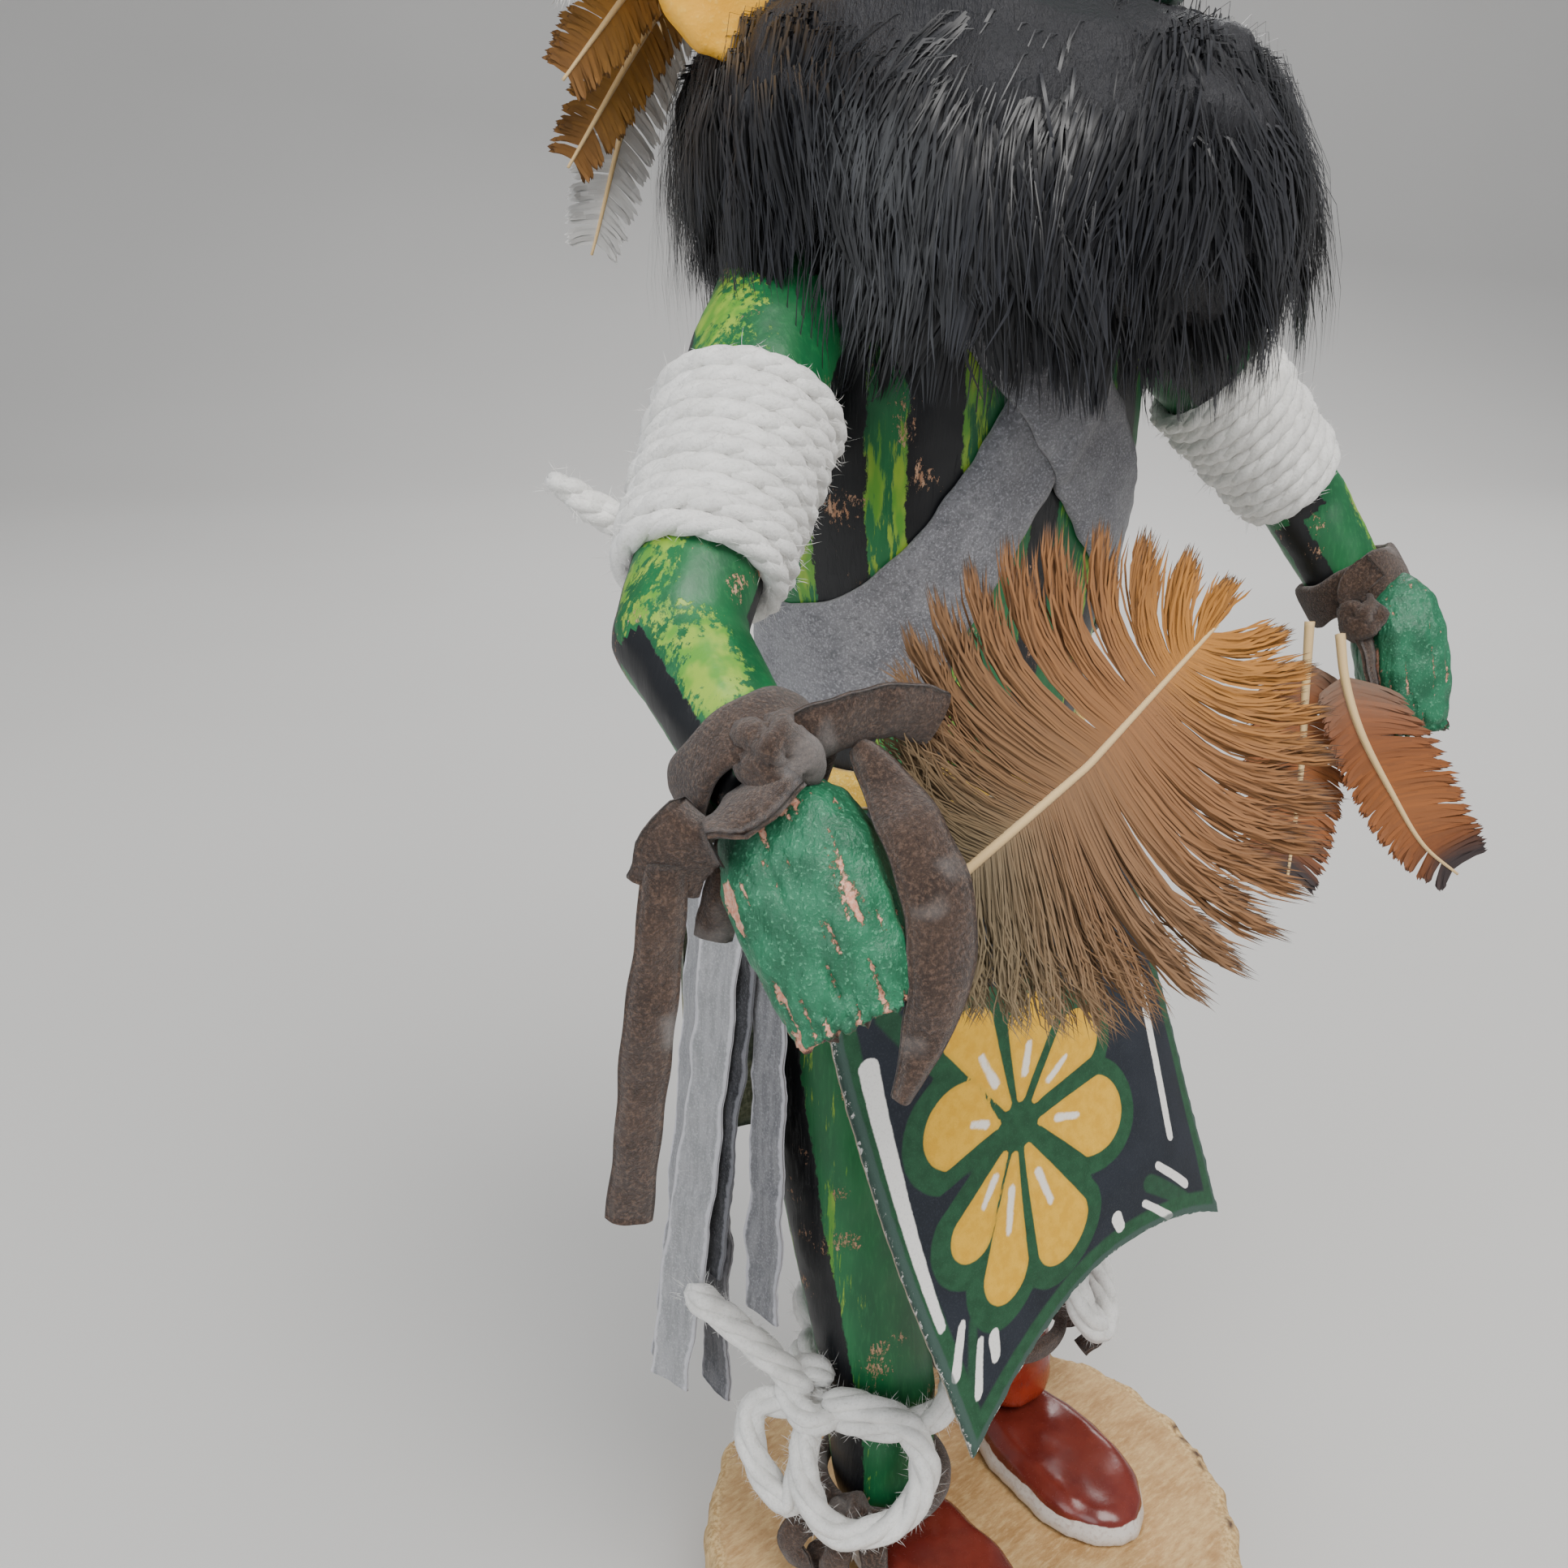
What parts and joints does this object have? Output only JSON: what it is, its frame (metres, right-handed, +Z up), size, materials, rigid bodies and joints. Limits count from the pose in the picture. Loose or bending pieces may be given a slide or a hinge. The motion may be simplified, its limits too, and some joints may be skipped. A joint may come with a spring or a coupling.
{
  "type": "kachina doll",
  "caption": "Carved wooden dancing figure on a round slab, dressed in leather apron, fur ruff, yarn and feathers.",
  "frame": {"origin": "centre of the slab's flat underside", "axes": "+Z up through the figure; the figure faces -Y and its left hand is on the +X side"},
  "size_m": [0.1506, 0.1089, 0.2863],
  "materials": {
    "slab": "raw sawn disc, tan fibrous rim with bark specks",
    "green_paint": "carved wood, satin green paint with black stripes",
    "hand_paint": "carved wood, worn teal paint with bare pink patches",
    "boot_paint": "carved wood, glossy orange-red paint",
    "mask_paint": "carved wood, satin dark green paint",
    "ear_paint": "thin board, satin yellow-orange paint",
    "suede": "matte napped grey suede",
    "belt": "matte rough yellow suede",
    "apron": "painted leather, navy field with a yellow flower and green border",
    "cloth": "coarse olive-grey striped weave",
    "light_strip": "matte pale grey suede",
    "dark_strip": "matte black suede",
    "grey_strip": "matte mid grey suede",
    "yarn": "matte white wool",
    "lace": "matte dark brown suede",
    "feather": "barbed feather vane, brown and golden",
    "plume": "soft white and cream feather",
    "fur": "long black fur"
  },
  "bodies": {
    "root": {"base_slab": "slab", "body": "green_paint", "foot_right": "boot_paint", "foot_left": "boot_paint", "arm_right": "green_paint", "arm_left": "green_paint", "hand_right": "hand_paint", "hand_left": "hand_paint", "head": "mask_paint", "ear_right": "ear_paint", "ear_left": "ear_paint", "bandolier_under": "suede", "bandolier_over": "suede", "belt": "belt", "apron_front": "apron", "back_cloth": "cloth", "strip_pale": "light_strip", "strip_black": "dark_strip", "strip_grey": "grey_strip", "strip_dark": "grey_strip", "strip_thin": "light_strip", "yarn_wrap_right": "yarn", "yarn_wrap_left": "yarn", "wrist_tie_right": "lace", "wrist_tie_left": "lace", "boot_tie_right": "lace", "leg_cord_right": "yarn", "boot_tie_left": "lace", "leg_cord_left": "yarn", "feather_right": "feather", "feather_left_front": "feather", "feather_left_back": "feather", "plume_right": "plume", "brown_feather_upper_right": "feather", "brown_feather_lower_right": "feather", "cream_feather_right": "plume", "plume_left": "plume", "brown_feather_upper_left": "feather", "brown_feather_lower_left": "feather", "cream_feather_left": "plume", "fur_collar": "fur"}
  },
  "joints": []
}
